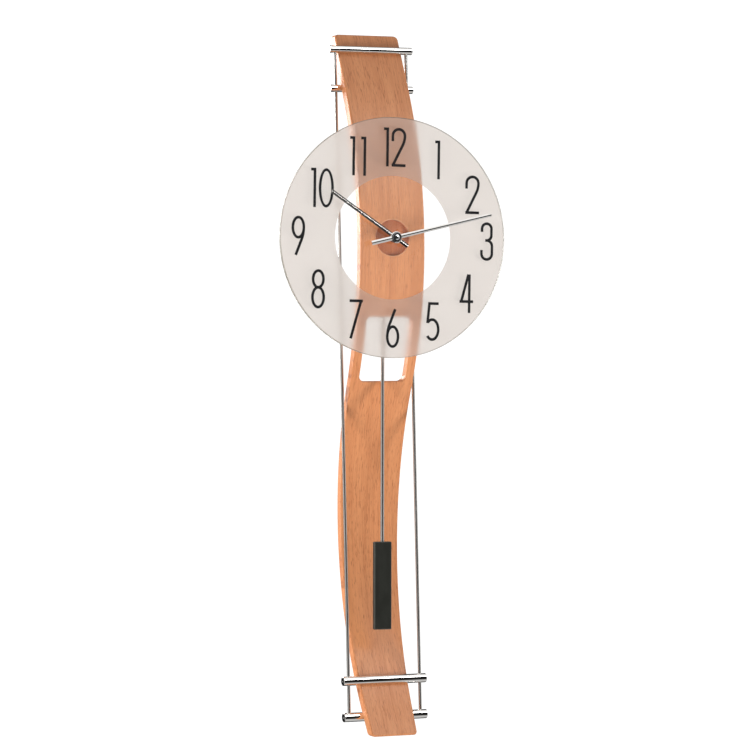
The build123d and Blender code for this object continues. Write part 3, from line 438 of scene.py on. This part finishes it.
def cell_sleeve():
    """Plain sleeve of the battery: a dark body with a copper-coloured end band, and bare metal at
    both ends."""
    look = Shader("battery_wrap")
    low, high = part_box("battery")
    x = look.split(look.place)[0]
    band = look.ramp(x, high.x - COPPER_BAND, high.x - COPPER_BAND + 0.2 * MM)
    scuffs = look.noise(look.stretched((3, 0.6, 0.6)), detail=4.0, roughness=0.7)
    colour = look.blend(band, (0.035, 0.037, 0.042), (0.55, 0.27, 0.11))
    ends = look.math("MAXIMUM", look.ramp(x, high.x - 1.2 * MM, high.x - 1.1 * MM),
                     look.ramp(x, low.x + 0.3 * MM, low.x + 0.4 * MM, 1, 0))
    colour = look.blend(ends, colour, (0.62, 0.62, 0.63))
    look.set(base_color=colour, metallic=0.7, roughness=look.ramp(scuffs, 0.3, 0.8, 0.22, 0.42),
             normal=look.bump(scuffs, 0.01))
    return look.material


# ---------------------------------------------------------------- finishes of the CAD nodes

# by the material slot that the record gives a node
FINISHES = {
    "beech": beech(),
    "dial_glass": dial_glass(),
    "black_ink": ink(),
    "polished_chrome": polished("polished_chrome", (0.84, 0.82, 0.79), 0.03, 0.07),
    "satin_steel": satin_steel("satin_steel", (0.74, 0.71, 0.67), 0.28, 0.38),
    "black_steel": bob_lacquer(),
    "zinc_steel": zinc(),
    "brass_parts": polished("brass_parts", (0.78, 0.55, 0.24), 0.16, 0.28, TURNED_LINES),
    "black_plastic": moulded("black_plastic", (0.026, 0.026, 0.028), 0.5),
    "gear_plastic": moulded("gear_plastic", (0.80, 0.76, 0.66), 0.34, grain=0.8, depth=0.008),
    "white_plastic": moulded("white_plastic", (0.76, 0.76, 0.73), 0.36, grain=0.8, depth=0.01),
    "black_rubber": rubber(),
    "magnet_ferrite": moulded("magnet_ferrite", (0.05, 0.05, 0.055), 0.42, grain=0.15, depth=0.01),
    "circuit_laminate": laminate(),
    "battery_wrap": cell_sleeve(),
}
# by node, where a node looks unlike the rest of its slot
OWN_FINISHES = {
    "cap_nut": cap_finish(),
    "motor_coil": winding("motor_winding"),
    "drive_coil": winding("drive_winding", middle("drive_coil")),
}


def dress_nodes():
    """Gives each CAD node its finish."""
    for part in frame["record"]["subparts"]:
        name = part["node"]
        finish = OWN_FINISHES.get(name) or FINISHES[part["material_slot"]]
        for slot in NODES[name].material_slots:
            slot.material = finish


# ---------------------------------------------------------------- stage, light and camera

# floor
FLOOR_DROP = 0.40
FLOOR_REACH = 2.0
FLOOR_CORNERS = 96
FLOOR_GLOW = 0.42

# camera, fitted to the photo: place in metres, angles in degrees, lens in millimetres
CAMERA_PLACE = Vector((-1.2618, -3.2753, -0.3540))
CAMERA_YAW = 21.274
CAMERA_ROLL = -0.472
CAMERA_LENS = 152.33
CAMERA_SENSOR = 36
CAMERA_REACH = 50

# brightness of the world: the backdrop, and the room with its slope from foot to ceiling
BACKDROP_GLOW = 1.12
ROOM_GLOW = 0.50
ROOM_SLOPE = 0.5

# what mirrors see. Each edge is a pair, where it starts and ends, on one axis of the direction
CEILING_GLOW = 1.1
CEILING_EDGE = (0.55, 0.66)
GROUND_GLOW = 0.6
GROUND_EDGE = (-0.60, -0.50)
GROUND_LEFT_EDGE = (-0.15, 0.15)
GROUND_LEFT_SHARE = 0.1
SIDE_GLOW = 0.6
SIDE_EDGE = (0.62, 0.85)
SIDE_TOP_EDGE = (0.50, 0.60)
BEHIND_EDGE = (0.1, 0.35)
BEHIND_SHARE = 0.03
DARK_GLOW = 0.02


def floor():
    """Pale round floor below the clock."""
    mesh = bpy.data.meshes.new("floor")
    z = CAD_BOX[0].z - FLOOR_DROP
    turns = [2 * math.pi * i / FLOOR_CORNERS for i in range(FLOOR_CORNERS)]
    painted_rim_highlight = [(FLOOR_REACH * math.cos(turn), FLOOR_REACH * math.sin(turn), z) for turn in turns]
    mesh.from_pydata(painted_rim_highlight, [], [list(range(FLOOR_CORNERS))])
    piece = bpy.data.objects.new("floor", mesh)
    bpy.context.scene.collection.objects.link(piece)
    look = Shader("floor_paint")
    cloud = look.noise(look.stretched((300, 300, 300)), detail=3.0)
    fine = look.noise(look.stretched((3, 3, 3)), detail=3.0)
    look.set(base_color=look.blend(cloud, (0.86, 0.86, 0.85), (0.80, 0.80, 0.79)),
             roughness=look.ramp(fine, 0.3, 0.7, 0.6, 0.7), normal=look.bump(fine, 0.05))
    look.principled.inputs["Emission Color"].default_value = (1, 1, 1, 1)
    look.principled.inputs["Emission Strength"].default_value = FLOOR_GLOW
    mesh.materials.append(look.material)
    piece.visible_glossy = False
    piece.visible_diffuse = False


def studio():
    """White behind the clock for the camera and through the glass, a pale room that is brighter
    below for the soft light, and for the mirrors a dark room with a bright ceiling, ground and
    sides."""
    world = bpy.data.worlds.new("studio")
    bpy.context.scene.world = world
    world.use_nodes = True
    tree = world.node_tree
    tree.nodes.clear()

    def link(value, socket):
        """Sets a socket to a number, or links it to another node's output."""
        if isinstance(value, bpy.types.NodeSocket):
            tree.links.new(value, socket)
        else:
            socket.default_value = value

    def calc(operation, a, b, c=0.0):
        """Result of a Math node."""
        made = tree.nodes.new("ShaderNodeMath")
        made.operation = operation
        for socket, value in zip(made.inputs, (a, b, c)):
            link(value, socket)
        return made.outputs[0]

    def step(value, edge, before=0.0, after=1.0):
        """Soft step from `before` to `after` across an edge."""
        made = tree.nodes.new("ShaderNodeMapRange")
        made.interpolation_type = "SMOOTHSTEP"
        for socket, each in zip(made.inputs, (value, *edge, before, after)):
            link(each, socket)
        return made.outputs[0]

    place = tree.nodes.new("ShaderNodeTexCoord")
    split = tree.nodes.new("ShaderNodeSeparateXYZ")
    tree.links.new(place.outputs["Generated"], split.inputs[0])
    x, y, z = split.outputs
    in_front = step(y, BEHIND_EDGE, 1.0, BEHIND_SHARE)
    ceiling = calc("MULTIPLY", step(z, CEILING_EDGE, 0.0, CEILING_GLOW), in_front)
    ground = calc("MULTIPLY", step(z, GROUND_EDGE, GROUND_GLOW, 0.0),
                  step(x, GROUND_LEFT_EDGE, GROUND_LEFT_SHARE, 1.0))
    ground = calc("MULTIPLY", ground, in_front)
    sides = calc("MULTIPLY", step(calc("ABSOLUTE", x, 0.0), SIDE_EDGE),
                 step(calc("ABSOLUTE", z, 0.0), SIDE_TOP_EDGE, SIDE_GLOW, 0.0))
    mirrored = calc("ADD", calc("ADD", ceiling, ground), calc("ADD", sides, DARK_GLOW))
    room = calc("MULTIPLY_ADD", z, -ROOM_GLOW * ROOM_SLOPE, ROOM_GLOW)

    path = tree.nodes.new("ShaderNodeLightPath")
    seen = calc("MAXIMUM", path.outputs["Is Camera Ray"], path.outputs["Is Transmission Ray"])
    glossy = path.outputs["Is Glossy Ray"]
    strength = calc("MULTIPLY_ADD", glossy, calc("SUBTRACT", mirrored, room), room)
    strength = calc("MULTIPLY_ADD", seen, calc("SUBTRACT", BACKDROP_GLOW, strength), strength)
    background = tree.nodes.new("ShaderNodeBackground")
    tree.links.new(strength, background.inputs["Strength"])
    background.inputs["Color"].default_value = (1, 1, 1, 1)
    output = tree.nodes.new("ShaderNodeOutputWorld")
    tree.links.new(background.outputs[0], output.inputs["Surface"])


def soft_light(name, place, size, power, shines="both"):
    """Square softbox aimed at the clock's middle, from which `place` is measured. It shines on
    "dull" surfaces, on "mirrors" or on "both"."""
    data = bpy.data.lights.new(name, "AREA")
    data.shape = "SQUARE"
    data.size = size
    data.energy = power
    lamp = bpy.data.objects.new(name, data)
    lamp.location = OBJECT_CENTRE + Vector(place)
    aim = OBJECT_CENTRE - lamp.location
    lamp.rotation_mode = "QUATERNION"
    lamp.rotation_quaternion = aim.to_track_quat("-Z", "Y")
    lamp.visible_camera = False
    lamp.visible_transmission = False
    lamp.visible_glossy = shines != "dull"
    lamp.visible_diffuse = shines != "mirrors"
    bpy.context.scene.collection.objects.link(lamp)


def camera():
    """Camera at the photo's angle. Positive yaw turns it to the right."""
    yaw = math.radians(CAMERA_YAW)
    roll = math.radians(CAMERA_ROLL)
    ahead = Vector((math.sin(yaw), math.cos(yaw), 0))
    right = Vector((math.cos(yaw), -math.sin(yaw), 0))
    up = Vector((0, 0, 1))
    tilted_right = right * math.cos(roll) + up * math.sin(roll)
    tilted_up = up * math.cos(roll) - right * math.sin(roll)
    data = bpy.data.cameras.new("camera")
    data.sensor_width = CAMERA_SENSOR
    data.lens = CAMERA_LENS
    data.clip_end = CAMERA_REACH
    eye = bpy.data.objects.new("camera", data)
    axes = Matrix((tilted_right, tilted_up, -ahead)).transposed()
    eye.matrix_world = Matrix.Translation(CAMERA_PLACE) @ axes.to_4x4()
    bpy.context.scene.collection.objects.link(eye)
    bpy.context.scene.camera = eye


def light_through_glass():
    """Lets the lamps reach the wood behind the dial, as they do through real glass."""
    NODES["glass_dial"].visible_shadow = False
    NODES["glass_dial"].visible_diffuse = False


dress_nodes()
light_through_glass()
floor()
studio()
soft_light("key", place=(2.6, -1.5, -0.75), size=0.9, power=64, shines="dull")
soft_light("left", place=(-2.8, -0.9, -0.45), size=1.0, power=62, shines="dull")
soft_light("sheen", place=(1.2, -2.2, 2.0), size=0.8, power=20, shines="mirrors")
soft_light("glint", place=(1.9, -2.2, 1.3), size=0.6, power=12, shines="mirrors")
soft_light("back", place=(-1.2, 2.6, 1.0), size=1.6, power=90)
camera()
bpy.context.scene.view_settings.view_transform = "Standard"
